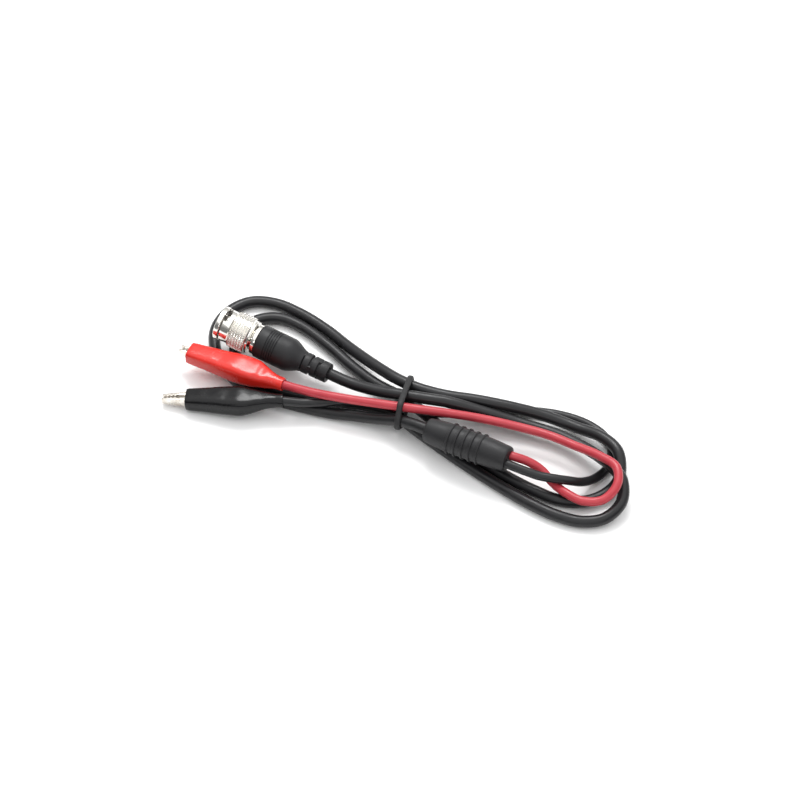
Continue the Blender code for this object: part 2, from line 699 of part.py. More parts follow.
def build_rivet(name, hinge):
    head = HINGE_HALF + 0.45
    profile = [
        (0, head), (1.0, head), (1.3, head - 0.2), (1.3, HINGE_HALF + 0.1),
        (HINGE_RADIUS, HINGE_HALF + 0.1), (HINGE_RADIUS, -HINGE_HALF - 0.1),
        (1.3, -HINGE_HALF - 0.1), (1.3, -head + 0.2), (1.0, -head), (0, -head),
    ]
    turned(name, profile, METAL, hinge, steps=12)


def build_spring(name, side, hinge):
    """A torsion spring round the rivet, with a leg along the back of each half."""
    path = [(-7.0, -side * 1.45, -SPRING_HALF), (-3.5, -side * 1.26, -SPRING_HALF)]
    turns = SPRING_TURNS * SPRING_SIDES
    for i in range(turns + 1):
        share = i / turns
        angle = -side * math.pi / 2 + side * math.tau * (SPRING_TURNS + 0.5) * share
        height = SPRING_HALF * (2 * share - 1)
        path.append((SPRING_COIL * math.cos(angle), SPRING_COIL * math.sin(angle), height))
    path += [(-3.0, side * 1.7, SPRING_HALF), (-5.4, side * 2.75, SPRING_HALF)]
    tube(name, path, SPRING_WIRE, METAL, hinge)


def superellipse(x, top, bottom, half, power=2.0, count=16):
    """A ring of points round a clip's boot at x: top and bottom are its reaches along Y."""
    ring = []
    for i in range(count):
        angle = math.tau * i / count
        c, s = math.cos(angle), math.sin(angle)
        reach = top if c > 0 else bottom
        y = reach * math.copysign(abs(c) ** (2 / power), c)
        z = half * math.copysign(abs(s) ** (2 / power), s)
        ring.append((x, y, z))
    return ring


def boot_rings(clip, count, shrink):
    """The boot's last count rings as (x, reaches, half height, squareness), moved in by shrink."""
    handles = HANDLE_AT
    rows = []
    for place, far, near, half, power in BOOT_OUTSIDE[-count:]:
        if place < 1:
            x = clip["neck_at"] + (handles - clip["neck_at"]) * place
        else:
            x = handles + (clip["mouth_at"] - handles) * (place - 1)
        rows.append((x, far - shrink, near - shrink, half - shrink, power))
    return rows


def build_clip_boot(name, side, clip, mat, hinge):
    """The soft boot: open at the jaws' end, bored for the lead at its neck."""
    bore = LEAD_RADIUS + LEAD_CLEARANCE
    neck_at = clip["neck_at"]
    rings = [superellipse(*row) for row in boot_rings(clip, len(BOOT_OUTSIDE), 0)]
    inside = boot_rings(clip, len(BOOT_OUTSIDE) - 3, BOOT_WALL)
    rings += [superellipse(*row) for row in reversed(inside)]
    rings.append(superellipse(neck_at + NECK_LENGTH - 0.5, bore, bore, bore))
    rings.append(superellipse(neck_at, bore, bore, bore))
    if side < 0:
        rings = [[(x, -y, z) for x, y, z in ring] for ring in rings]
    smooth(add_object(name, loft(name, rings, closed=True), mat, hinge), 60)


def build_clip(label, side, clip, mat):
    hinge = clip_empty(f"{label}_hinge", clip)
    build_half(f"{label}_fixed_jaw", -side, False, hinge)
    build_half(f"{label}_moving_jaw", side, True, hinge)
    build_rivet(f"{label}_rivet", hinge)
    build_spring(f"{label}_spring", side, hinge)
    build_clip_boot(f"{label}_clip_boot", side, clip, mat, hinge)
    lead_end = clip["neck_at"] + NECK_LENGTH + BORE_CLEARANCE
    wire = [(lead_end, 0, 0), (lead_end / 2 - 5, 0, 0), (-10, 0, 0)]
    tube(f"{label}_wire_end", wire, 0.45, COPPER, hinge)


# Tie


def crossings(line, radius):
    """Where a line crosses the tie's plane, as (sideways, height, radius) in that plane."""
    turn = math.radians(TIE_TURN)
    normal = Vector((math.cos(turn), math.sin(turn), 0))
    across = Vector((-math.sin(turn), math.cos(turn), 0))
    found = []
    for a, b in zip(line, line[1:]):
        before = a.dot(normal) - TIE_AT
        after = b.dot(normal) - TIE_AT
        if before * after < 0:
            point = a.lerp(b, before / (before - after))
            found.append((point.dot(across), point.z, radius))
    return found


def hull(points):
    """The corners of the convex hull of 2-D points, in order."""
    ordered = sorted(points)
    chains = []
    for run in (ordered, ordered[::-1]):
        chain = []
        for x, y in run:
            while len(chain) > 1:
                (ax, ay), (bx, by) = chain[-2:]
                if (bx - ax) * (y - ay) - (by - ay) * (x - ax) > 0:
                    break
                chain.pop()
            chain.append((x, y))
        chains += chain[:-1]
    return chains


def tie_outline(strands):
    """The tie's centreline: the hull of the strands that it holds, a little outside them."""
    rim = []
    for across, height, radius in strands:
        reach = radius + TIE_CLEARANCE + TIE_THICKNESS / 2
        for i in range(32):
            angle = math.tau * i / 32
            rim.append((across + reach * math.cos(angle), height + reach * math.sin(angle)))
    corners = hull(rim)
    return [Vector((0, y, z)) for y, z in corners]


def build_tie(strands):
    outline = tie_outline(strands)
    points = even_points(outline + outline[:1], 60 / TIE_POINTS)[:-1]
    tie = tube("tie_ring", points, TIE_THICKNESS / 2, RUBBER, cyclic=True)
    turn = Matrix.Rotation(math.radians(TIE_TURN), 4, "Z")
    place = turn @ Matrix.Translation((TIE_AT * MM, 0, 0))
    tie.data.transform(place @ Matrix.Diagonal((TIE_WIDTH / TIE_THICKNESS, 1, 1, 1)))


clear_scene()
PARTS = new_collection("bnc_test_lead")
CUTTERS = new_collection("cutters")
METAL = material("nickel", (0.78, 0.76, 0.72), 0.25, 1)
GOLD = material("gold_plate", (0.85, 0.62, 0.25), 0.25, 1)
COPPER = material("tinned_copper", (0.72, 0.62, 0.52), 0.35, 1)
PTFE = material("white_insulation", (0.86, 0.86, 0.83), 0.45)
BLACK_PVC = material("black_pvc", (0.03, 0.03, 0.032), 0.5)
BLACK_BOOT = material("black_boot_pvc", (0.03, 0.03, 0.03), 0.3)
RED_BOOT = material("red_boot_pvc", (0.72, 0.05, 0.03), 0.28)
RED_WIRE = material("red_insulation", (0.62, 0.07, 0.09), 0.4)
SLEEVE = material("splice_sleeve", (0.1, 0.1, 0.11), 0.5)
RUBBER = material("black_rubber", (0.035, 0.035, 0.035), 0.7)

plug_frame = axis_empty("plug", PLUG_REAR, PLUG_RIM)
build_coupling_nut(plug_frame)
build_plug_body(plug_frame)
build_wave_washer(plug_frame)
washer("thrust_washer", NUT_REAR_AT + 1.5, NUT_REAR_AT + 2.1, WASHER_INNER, WASHER_OUTER, METAL, plug_frame)
washer(
    "plug_gasket", FLANGE_TOP_AT + 0.3, FLANGE_TOP_AT + 1.3, GASKET_INNER, GASKET_OUTER, RUBBER, plug_frame,
)
build_plug_core(plug_frame)
build_plug_boot(plug_frame)

splitter_frame = axis_empty("splitter", SPLITTER_LEFT, SPLITTER_RIGHT)
build_splitter(splitter_frame)
build_splices(splitter_frame)

coax = coax_points()
red = lead_points(RED_ROUTE, LEAD_SPACING / 2, RED_CLIP)
black = lead_points(BLACK_ROUTE, -LEAD_SPACING / 2, BLACK_CLIP)
tube("coax_cable", coax, COAX_RADIUS, BLACK_PVC)
tube("red_lead", red, LEAD_RADIUS, RED_WIRE)
tube("black_lead", black, LEAD_RADIUS, BLACK_PVC)
build_tie(crossings(coax, COAX_RADIUS) + crossings(red, LEAD_RADIUS) + crossings(black, LEAD_RADIUS))

build_clip("red", -1, RED_CLIP, RED_BOOT)
build_clip("black", 1, BLACK_CLIP, BLACK_BOOT)

hank = bpy.data.objects.new("hank", None)
hank.location = Vector(HANK_OFFSET) * MM
for obj in [*PARTS.objects, *CUTTERS.objects]:
    if obj.parent is None:
        obj.parent = hank
PARTS.objects.link(hank)
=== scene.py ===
import math

import bmesh
import bpy
from mathutils import Matrix, Vector


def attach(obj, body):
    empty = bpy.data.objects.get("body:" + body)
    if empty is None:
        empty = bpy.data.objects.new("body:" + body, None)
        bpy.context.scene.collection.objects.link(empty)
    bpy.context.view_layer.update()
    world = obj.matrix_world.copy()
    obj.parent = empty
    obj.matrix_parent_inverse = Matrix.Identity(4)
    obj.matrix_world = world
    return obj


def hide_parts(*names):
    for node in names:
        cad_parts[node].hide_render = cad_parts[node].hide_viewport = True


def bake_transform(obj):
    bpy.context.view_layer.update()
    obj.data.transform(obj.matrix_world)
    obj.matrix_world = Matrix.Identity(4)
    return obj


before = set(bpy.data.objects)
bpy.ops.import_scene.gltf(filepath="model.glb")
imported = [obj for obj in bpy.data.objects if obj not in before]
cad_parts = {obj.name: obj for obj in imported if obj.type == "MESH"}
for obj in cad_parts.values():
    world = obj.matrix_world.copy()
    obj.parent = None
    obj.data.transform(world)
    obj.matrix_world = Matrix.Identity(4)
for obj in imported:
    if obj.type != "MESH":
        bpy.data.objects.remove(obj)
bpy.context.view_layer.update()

# Lengths are in millimetres, as in the CAD source. MM turns them into metres.
MM = 0.001
HANK_OFFSET = Vector((-0.5, -0.7, 0.02))

COAX_RADIUS = 2.25
LEAD_RADIUS = 1.7

CAMERA_TARGET = (-7.5, 8.3, 0)
CAMERA_DISTANCE = 1200
CAMERA_AZIMUTH = 25
CAMERA_ELEVATION = 50
CAMERA_LENS = 141.5

# Plug: heights are along its axis, from the rear of the boot to the rim of the nut
PLUG_REAR = (-34.4, 3.7, 7.6)
PLUG_RIM = (-81.8, 5.2, 13.3)
RIM_AT = 47.2
KNURL_FRONT_AT = 41.0
NUT_REAR_AT = 32.8
NUT_RADIUS = 7.25
KNURLS = 60
KNURL_DEPTH = 0.3
KNURL_ROWS = 76
KNURL_FADE = 0.25

# A bayonet slot: where it starts and how far it turns, in degrees, its depth below the rim
# there and how much deeper it ends, half its width, and the radii that it cuts between
BAYONET_START = 222.0
BAYONET_TURN = -58.0
SLOT_DEPTH = 2.5
SLOT_FALL = 1.2
SLOT_HALF_WIDTH = 0.85
SLOT_INNER = 4.3
SLOT_OUTER = 7.2

# The sleeve's faces within this radius and this far below the rim take a dark nickel: painted shade
# in the groove, the slots and the bore
PAINTED_SHADE_WITHIN = 5.95
PAINTED_SHADE_BELOW = 0.6

# The plug boot's fine grooves
GROOVES = 5
GROOVE_FIRST_AT = 26.0
GROOVE_PITCH = 0.95

# Splitter
SPLITTER_LEFT = (12.0, -7.8, 10.6)
SPLITTER_RIGHT = (45.9, -9.3, 12.0)
SPLITTER_LENGTH = 34.0
LEAD_SPACING = 4.3
HOLE_CLEARANCE = 0.06
RINGS = 5
RING_FIRST_AT = 10.4
RING_PITCH = 3.1
DIMPLE_AT = 16.6
DIMPLE_RADIUS = 0.45

# Clips: a clip's frame has its hinge at the origin, +X to the tips, Z along the hinge
CLIPS = {
    "red": {
        "mouth": (-86.9, -10.0, 8.4), "neck": (-46.9, -9.9, 9.4),
        "mouth_at": 22.5, "neck_at": -17.5, "side": -1,
    },
    "black": {
        "mouth": (-79.4, -27.6, 3.5), "neck": (-43.8, -16.0, 7.9),
        "mouth_at": 17.0, "neck_at": -20.5, "side": 1,
    },
}
HANDLE_AT = -5.5
BOOT_WALL = 0.75
NECK_RADIUS = 1.85
NECK_LENGTH = 3.2

COIL_RADIUS = 1.2
COIL_TURNS = 2.5
COIL_HALF_WIDTH = 0.5
SPRING_WIRE_RADIUS = 0.19

TIE_THICKNESS = 1.3
TIE_WIDTH = 2.3
TIE_AT = -1.6
TIE_TURN = 12.0
TIE_CLEARANCE = 0.12

JAW_BEVEL = 0.07
RIB_BEVEL = 0.15
CREASE_ANGLE = 35

COAX_ROUTE = [
    (-25, 3.2, 7.2), (-15, 2.9, 8.5), (-5, 3.7, 10.1), (5, 5.5, 10.8), (14, 7.8, 10.5),
    (25.5, 10.6, 8.2), (40, 13.6, 5.4), (56, 14.8, 4.9), (69, 12.2, 6), (79, 7.8, 7.7),
    (86.5, 3, 7.8), (89.8, -4.8, 5.2), (86.8, -12.8, 3.1), (79.5, -17.4, 2.3),
    (70, -18.8, 2.3), (59, -17.8, 2.3), (46, -15.2, 2.3), (33, -12, 2.3), (20, -8.5, 2.6),
    (8, -5.4, 3.7), (-3, -1.9, 4.2), (-13, -0.9, 3.5), (-25, -2.7, 2.4), (-37, -5.5, 2.3),
    (-48, -7.5, 2.3), (-59, -7.3, 2.3), (-68.5, -3.5, 2.3), (-75, 4, 2.3), (-76.5, 13, 2.3),
    (-73, 21, 2.3), (-66, 25, 2.3), (-56.5, 24.7, 2.3), (-43, 20.3, 2.3), (-30, 14.6, 2.4),
    (-17.5, 10, 3.2), (-5.5, 7.3, 4.2), (5.5, 3.8, 4.2), (16.5, -0.5, 3.2), (27.5, -4.8, 2.4),
    (42, -9, 2.3), (57, -11.5, 2.3), (68, -11.7, 2.3), (77, -8, 2.3), (82.5, -1, 2.3),
    (84, 7, 2.7), (80, 15.5, 6.2), (72, 20, 5.9), (60, 22, 3.8), (47, 21.2, 5),
    (34, 18.1, 7), (22, 15, 8.1), (11, 12.1, 8.3), (0, 10.8, 8.4), (-9, 11.8, 8.1),
    (-19, 15.2, 6.5), (-35, 22.3, 3.3), (-47, 27.4, 2.3), (-60, 30.6, 2.3), (-71, 31.2, 2.3),
    (-80, 28, 2.3), (-85.5, 20, 2.3), (-86.2, 10, 2.3), (-82, 1, 2.3), (-74.5, -6.3, 2.3),
    (-65, -11.3, 2.3), (-53, -12.9, 2.3), (-40, -11.8, 2.3), (-28, -10, 2.5), (-19, -8.2, 3.4),
    (-11, -7.2, 4.9), (-5, -6.8, 6.7), (0.5, -6.8, 8.7), (6, -7.2, 9.9),
]
RED_ROUTE = [
    (52.5, -6.3, 11), (58, -5.9, 8.2), (63.5, -8, 6), (70, -11, 6.9), (77, -12, 7.1),
    (84, -9.2, 8.3), (86.7, -2.6, 11), (83.7, 4, 12.3), (75.5, 7.2, 11.3), (65, 9.3, 9.3),
    (54, 10.5, 8.4), (43, 9.4, 8.6), (28, 5.7, 10.3), (13.5, 0.9, 12), (4, -2.2, 12.6),
    (-10, -5.3, 12), (-22, -7.5, 11.1), (-35, -9.3, 10.1),
]
BLACK_ROUTE = [
    (53, -11.2, 11.4), (59, -10.4, 10.5), (65, -8.6, 9.9), (69.5, -6.2, 8.4), (73, -2.5, 5.4),
    (76, 3.2, 2.7), (78, 11, 1.8), (76.5, 18, 1.8), (71.5, 23.8, 1.8), (63, 26.8, 1.8),
    (52, 26.6, 1.8), (40, 23.3, 1.8), (29, 17.8, 2.2), (20, 10.9, 4.1), (12.5, 4, 7.4),
    (6, 1.1, 8.8), (-1.5, 0, 8.8), (-8, -1.7, 8.5), (-16, -3.3, 7.9), (-24.5, -6.1, 7.2),
    (-31, -9.8, 6.9), (-38, -13.6, 7.3),
]


def add_object(name, data):
    obj = bpy.data.objects.new(name, data)
    bpy.context.scene.collection.objects.link(obj)
    return obj


# Camera


def add_camera():
    """A camera that looks down at the hank, from the front and to one side."""
    data = bpy.data.cameras.new("camera")
    data.sensor_width = 36
    data.lens = CAMERA_LENS
    camera = add_object("camera", data)
    azimuth, elevation = math.radians(CAMERA_AZIMUTH), math.radians(CAMERA_ELEVATION)
    back = Vector((
        math.sin(azimuth) * math.cos(elevation), -math.cos(azimuth) * math.cos(elevation),
        math.sin(elevation),
    ))
    camera.location = Vector(CAMERA_TARGET) * MM + back * (CAMERA_DISTANCE * MM)
    camera.rotation_mode = "QUATERNION"
    camera.rotation_quaternion = (-back).to_track_quat("-Z", "Y")
    bpy.context.scene.camera = camera


# Curves and frames


def smooth_route(points, per_span=24):
    """Centripetal Catmull-Rom curve through the route's points, as close-set samples."""
    knots = [Vector(p) for p in points]
    knots = [knots[0] * 2 - knots[1], *knots, knots[-1] * 2 - knots[-2]]
    line = []
    for a, b, c, d in zip(knots, knots[1:], knots[2:], knots[3:]):
        t1 = math.sqrt((b - a).length)
        t2 = t1 + math.sqrt((c - b).length)
        t3 = t2 + math.sqrt((d - c).length)
        for i in range(per_span):
            t = t1 + (t2 - t1) * i / per_span
            ab = a.lerp(b, t / t1)
            bc = b.lerp(c, (t - t1) / (t2 - t1))
            cd = c.lerp(d, (t - t2) / (t3 - t2))
            abc = ab.lerp(bc, t / t2)
            bcd = bc.lerp(cd, (t - t1) / (t3 - t1))
            line.append(abc.lerp(bcd, (t - t1) / (t2 - t1)))
    line.append(knots[-2])
    return line


def length_of(line):
    """The length of a line of points."""
    return sum((b - a).length for a, b in zip(line, line[1:]))


def even_points(line, step):
    """Points at even distances along the line, about a step apart, with both its ends."""
    total = length_of(line)
    count = max(2, round(total / step))
    wanted = [total * i / count for i in range(1, count)]
    found = [line[0]]
    gone = 0.0
    for a, b in zip(line, line[1:]):
        span = (b - a).length
        while wanted and wanted[0] <= gone + span:
            found.append(a.lerp(b, (wanted.pop(0) - gone) / span))
        gone += span
    found.append(line[-1])
    return found


def axis_matrix(start, end):
    """A frame at start with its Z axis towards end and its Y axis horizontal."""
    along = (Vector(end) - Vector(start)).normalized()
    side = Vector((0, 0, 1)).cross(along).normalized()
    turn = Matrix((side.cross(along), side, along)).transposed().to_4x4()
    return Matrix.Translation(Vector(start) + HANK_OFFSET) @ turn


def clip_matrix(clip):
    """A clip's frame, with its hinge at the origin."""
    forward = (Vector(clip["mouth"]) - Vector(clip["neck"])).normalized()
    side = Vector((0, 0, 1)).cross(forward).normalized()
    turn = Matrix((forward, side, forward.cross(side))).transposed().to_4x4()
    hinge = Vector(clip["mouth"]) - forward * clip["mouth_at"] + HANK_OFFSET
    return Matrix.Translation(hinge) @ turn


def spun(shape, degrees):
    """A frame turned about its own Z axis."""
    return shape @ Matrix.Rotation(math.radians(degrees), 4, "Z")


PLUG = axis_matrix(PLUG_REAR, PLUG_RIM)
SPLITTER = axis_matrix(SPLITTER_LEFT, SPLITTER_RIGHT)


def in_world(route):
    return [Vector(p) + HANK_OFFSET for p in route]


def coax_line():
    """The coax, from inside the plug's boot to inside the splitter."""
    start = [PLUG @ Vector((0, 0, h)) for h in (8, 4, -0.5)]
    end = [SPLITTER @ Vector((0, 0, h)) for h in (-0.5, 3)]
    return smooth_route(start + in_world(COAX_ROUTE) + end)


def lead_line(route, sideways, clip):
    """A lead, from inside the splitter to inside a clip's boot."""
    start = [SPLITTER @ Vector((0, sideways, SPLITTER_LENGTH + h)) for h in (-3, 0.5)]
    shape = clip_matrix(clip)
    end = [shape @ Vector((clip["neck_at"] + x, 0, 0)) for x in (-0.5, 2.5)]
    return smooth_route(start + in_world(route) + end)


# Mesh helpers


def add_piece(name, mesh, mat, body="root"):
    obj = add_object(name, mesh)
    mesh.materials.append(mat)
    if body:
        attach(obj, body)
    return obj


def smooth(obj, angle):
    """Shades obj smooth, with edges sharper than the angle kept as creases."""
    obj.data.shade_smooth()
    obj.data.set_sharp_from_angle(angle=math.radians(angle))


def round_edges(obj, width):
    bevel = obj.modifiers.new("round", "BEVEL")
    bevel.width = width * MM
    bevel.segments = 2
    return bevel


def grid_mesh(name, rings, closed_rings=False, cap_ends=False, shape=None):
    """A mesh through rings of equal count, in millimetres, placed by shape."""
    count = len(rings[0])
    place = shape or Matrix.Identity(4)
    verts = [(place @ Vector(p)) * MM for ring in rings for p in ring]
    faces = []
    for i in range(len(rings) if closed_rings else len(rings) - 1):
        here = i * count
        there = (i + 1) % len(rings) * count
        for j in range(count):
            k = (j + 1) % count
            faces.append((here + j, here + k, there + k, there + j))
    if cap_ends:
        last = (len(rings) - 1) * count
        faces.append(tuple(range(count)))
        faces.append(tuple(last + i for i in range(count)))
    mesh = bpy.data.meshes.new(name)
    mesh.from_pydata(verts, [], faces)
    body = bmesh.new()
    body.from_mesh(mesh)
    bmesh.ops.remove_doubles(body, verts=body.verts, dist=1e-8)
    bmesh.ops.recalc_face_normals(body, faces=body.faces)
    body.to_mesh(mesh)
    body.free()
    return mesh


def rounded(profile, radius, steps):
    """A closed turned profile with each corner rounded by up to radius."""
    count = len(profile)
    points = [Vector(p) for p in profile]
    made = []
    for i, corner in enumerate(points):
        before, after = points[i - 1], points[(i + 1) % count]
        reach = min(radius, 0.45 * (before - corner).length, 0.45 * (after - corner).length)
        a = corner + (before - corner).normalized() * reach
        b = corner + (after - corner).normalized() * reach
        for j in range(steps + 1):
            t = j / steps
            made.append(tuple(a.lerp(corner, t).lerp(corner.lerp(b, t), t)))
    return made


def circle(radius, steps):
    """The (x, y) places of even steps round a circle."""
    return [
        (radius * math.cos(math.tau * i / steps), radius * math.sin(math.tau * i / steps))
        for i in range(steps)
    ]


def turned_mesh(name, profile, shape, steps, radius_at):
    """A ring turned from a closed (radius, height) profile. radius_at may change each radius."""
    rings = []
    for r, h in profile:
        ring = []
        for i in range(steps):
            angle = math.tau * i / steps
            reach = radius_at(r, h, angle) if radius_at else r
            ring.append((reach * math.cos(angle), reach * math.sin(angle), h))
        rings.append(ring)
    return grid_mesh(name, rings, closed_rings=True, shape=shape)


def turned(name, profile, mat, shape, body="root", steps=96, angle=40, radius_at=None):
    obj = add_piece(name, turned_mesh(name, profile, shape, steps, radius_at), mat, body)
    smooth(obj, angle)
    return obj


def solid_turned(name, profile, mat, shape, body="root", steps=48, angle=40):
    """A turned piece with no hole: its profile starts and ends on the axis."""
    rings = [[(x, y, h) for x, y in circle(r, steps)] for r, h in profile]
    obj = add_piece(name, grid_mesh(name, rings, shape=shape), mat, body)
    smooth(obj, angle)
    return obj


def cut(obj, meshes):
    """Subtracts the meshes from obj for good."""
    tools = [add_object(mesh.name, mesh) for mesh in meshes]
    for tool in tools:
        boolean = obj.modifiers.new(tool.name, "BOOLEAN")
        boolean.operation = "DIFFERENCE"
        boolean.object = tool
        boolean.solver = "EXACT"
    graph = bpy.context.evaluated_depsgraph_get()
    graph.update()
    made = bpy.data.meshes.new_from_object(obj.evaluated_get(graph))
    obj.modifiers.clear()
    obj.data = made
    for tool in tools:
        bpy.data.objects.remove(tool, do_unlink=True)


def prism(name, corners, low, high, shape):
    """A tool for cut(), or a rib: a block over its (x, y) corners, from low to high."""
    rings = [[(x, y, h) for x, y in corners] for h in (low, high)]
    return grid_mesh(name, rings, cap_ends=True, shape=shape)


# Materials


def add_ramp(tree, fac, places, values):
    """A ramp between two values, each a number or a colour, at two places."""
    node = tree.nodes.new("ShaderNodeValToRGB")
    for stop, place, value in zip(node.color_ramp.elements, places, values):
        stop.position = place
        stop.color = (*value, 1) if isinstance(value, tuple) else (value, value, value, 1)
    tree.links.new(fac, node.inputs["Fac"])
    return node.outputs["Color"]


class Nodes:
    """A material's node tree, built up by short calls."""

    def __init__(self, name, colour, roughness, metallic=0.0, **settings):
        self.mat = bpy.data.materials.new(name)
        self.mat.use_nodes = True
        self.tree = self.mat.node_tree
        self.shader = self.tree.nodes["Principled BSDF"]
        self.set("Base Color", (*colour, 1))
        self.set("Roughness", roughness)
        self.set("Metallic", metallic)
        for key, value in settings.items():
            self.set(key.replace("_", " "), value)
        self.where = self.tree.nodes.new("ShaderNodeTexCoord").outputs["Object"]

    def set(self, socket, value):
        self.shader.inputs[socket].default_value = value

    def link(self, out, into):
        self.tree.links.new(out, into)

    def noise(self, scale, detail):
        node = self.tree.nodes.new("ShaderNodeTexNoise")
        node.inputs["Scale"].default_value = scale
        node.inputs["Detail"].default_value = detail
        node.inputs["Roughness"].default_value = 0.5
        self.link(self.where, node.inputs["Vector"])
        return node.outputs["Fac"]

    def vary(self, socket, fac, low, high):
        """Lets a socket vary with fac from low to high, over the middle of fac's range."""
        self.link(add_ramp(self.tree, fac, (0.3, 0.7), (low, high)), self.shader.inputs[socket])

    def colour_from(self, fac, low, high):
        self.vary("Base Color", fac, low, high)

    def roughness_from(self, fac, low, high):
        self.vary("Roughness", fac, low, high)

    def bump(self, fac, strength, distance):
        node = self.tree.nodes.new("ShaderNodeBump")
        node.inputs["Strength"].default_value = strength
        node.inputs["Distance"].default_value = distance
        self.link(fac, node.inputs["Height"])
        previous = self.shader.inputs["Normal"].links
        if previous:
            self.link(previous[0].from_socket, node.inputs["Normal"])
        self.link(node.outputs["Normal"], self.shader.inputs["Normal"])


def make_nickel():
    made = Nodes("nickel", (0.83, 0.81, 0.77), 0.16, 1)
    made.colour_from(made.noise(160, 2), (0.78, 0.76, 0.71), (0.86, 0.84, 0.80))
    made.roughness_from(made.noise(700, 3), 0.10, 0.17)
    made.bump(made.noise(1500, 2), 0.05, 0.00002)
    return made.mat


def make_painted_shade_nickel():
    """Dark, dull nickel for the sleeve's slots, groove and bore: painted shade where these recesses
    lie in shadow.
    """
    made = Nodes("nickel_painted_shade", (0.16, 0.15, 0.14), 0.45, 1)
    made.colour_from(made.noise(600, 3), (0.10, 0.095, 0.09), (0.24, 0.22, 0.20))
    return made.mat


def make_jaw_metal():
    made = Nodes("jaw_nickel", (0.74, 0.70, 0.64), 0.26, 1)
    made.colour_from(made.noise(320, 3), (0.60, 0.55, 0.48), (0.82, 0.79, 0.74))
    made.roughness_from(made.noise(1100, 4), 0.18, 0.36)
    made.bump(made.noise(1500, 3), 0.2, 0.00005)
    return made.mat


def make_gold():
    made = Nodes("gold_flash", (0.9, 0.62, 0.22), 0.2, 1)
    made.roughness_from(made.noise(1400, 2), 0.16, 0.28)
    return made.mat


def make_ptfe():
    made = Nodes("white_insulation", (0.82, 0.82, 0.79), 0.42)
    made.colour_from(made.noise(500, 2), (0.78, 0.78, 0.75), (0.86, 0.86, 0.83))
    return made.mat


def make_black_pvc(name, colour, roughness, grain):
    """Satin black PVC with a fine grain and faint dull patches."""
    made = Nodes(name, colour, roughness, Specular_IOR_Level=0.36)
    dull = tuple(value * 1.6 for value in colour)
    made.colour_from(made.noise(120, 4), colour, dull)
    made.roughness_from(made.noise(240, 4), roughness - 0.06, roughness + 0.1)
    made.bump(made.noise(3600, 2), 0.3, grain)
    made.bump(made.noise(420, 2), 0.2, 0.00008)
    return made.mat


def make_red_wire():
    made = Nodes("red_wire_pvc", (0.44, 0.035, 0.05), 0.36, Specular_IOR_Level=0.4)
    made.colour_from(made.noise(110, 3), (0.40, 0.028, 0.042), (0.48, 0.045, 0.060))
    made.roughness_from(made.noise(260, 3), 0.28, 0.42)
    made.bump(made.noise(3600, 2), 0.2, 0.00003)
    return made.mat


def make_boot(name, deep, light, level):
    """Glossy dipped PVC, a little wavy, as a soft boot's skin is."""
    made = Nodes(name, light, 0.2, Specular_IOR_Level=level, Coat_Weight=0.12, Coat_Roughness=0.04)
    made.colour_from(made.noise(90, 3), deep, light)
    made.roughness_from(made.noise(300, 3), 0.16, 0.3)
    made.bump(made.noise(230, 1.5), 0.35, 0.0003)
    made.bump(made.noise(1600, 2), 0.08, 0.00005)
    return made.mat


def make_rubber():
    made = Nodes("black_rubber", (0.014, 0.014, 0.015), 0.55, Specular_IOR_Level=0.36)
    made.colour_from(made.noise(400, 4), (0.011, 0.011, 0.012), (0.020, 0.020, 0.021))
    made.bump(made.noise(2600, 3), 0.4, 0.00006)
    return made.mat


def make_copper():
    made = Nodes("tinned_copper", (0.72, 0.62, 0.52), 0.35, 1)
    made.roughness_from(made.noise(1400, 2), 0.28, 0.42)
    return made.mat


NICKEL = make_nickel()
PAINTED_SHADE_NICKEL = make_painted_shade_nickel()
JAW_METAL = make_jaw_metal()
GOLD = make_gold()
PTFE = make_ptfe()
COPPER = make_copper()
CABLE_PVC = make_black_pvc("cable_pvc", (0.008, 0.008, 0.009), 0.34, 0.00003)
MOULDED_PVC = make_black_pvc("moulded_pvc", (0.009, 0.009, 0.010), 0.48, 0.00006)
RED_WIRE = make_red_wire()
RED_BOOT = make_boot("red_boot_pvc", (0.56, 0.014, 0.008), (0.68, 0.026, 0.017), 0.42)
BLACK_BOOT = make_boot("black_boot_pvc", (0.003, 0.003, 0.0035), (0.005, 0.005, 0.006), 0.22)
RUBBER = make_rubber()


# Cords


def tube_mesh_object(name, line, radius, sides, step, mat, body="root"):
    """A round tube along the line, with its frames carried along it without twist."""
    points = even_points(line, step)
    up = Vector((0, 0, 1))
    rings = []
    for i, point in enumerate(points):
        ahead = points[min(i + 1, len(points) - 1)]
        behind = points[max(i - 1, 0)]
        along = (ahead - behind).normalized()
        up = (up - along * up.dot(along)).normalized()
        side = along.cross(up)
        rings.append([point + up * x + side * y for x, y in circle(radius, sides)])
    obj = add_piece(name, grid_mesh(name, rings, cap_ends=True), mat, body)
    smooth(obj, 60)
    return obj


def add_cords():
    coax = coax_line()
    piece = tube_mesh_object("coax", coax, COAX_RADIUS, 36, 1.0, CABLE_PVC)
    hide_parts("coax_cable")
    [p * MM for p in even_points(coax, 1.5)]
    lines = {"coax": coax}
    for label, sign, route, mat, slot in (
        ("red", 1, RED_ROUTE, RED_WIRE, "red_wire"),
        ("black", -1, BLACK_ROUTE, CABLE_PVC, "black_pvc"),
    ):
        sideways = sign * LEAD_SPACING / 2
        line = lead_line(route, sideways, CLIPS[label])
        piece = tube_mesh_object(f"{label}_wire", line, LEAD_RADIUS, 28, 1.0, mat)
        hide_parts(f"{label}_lead")
        [p * MM for p in even_points(line, 1.5)]
        lines[label] = line
    return lines


# Plug


def knurl(angle, height):
    """How deep the diamond knurl is at a place on the nut, from 0 on a point to 1 in a groove."""
    around = angle * KNURLS / math.tau
    up = height * KNURLS / (math.tau * NUT_RADIUS)
    waves = [abs((value % 1) * 2 - 1) for value in (around + up, around - up)]
    return min(1.0, max(0.0, max(waves) * 1.5 - 0.5))


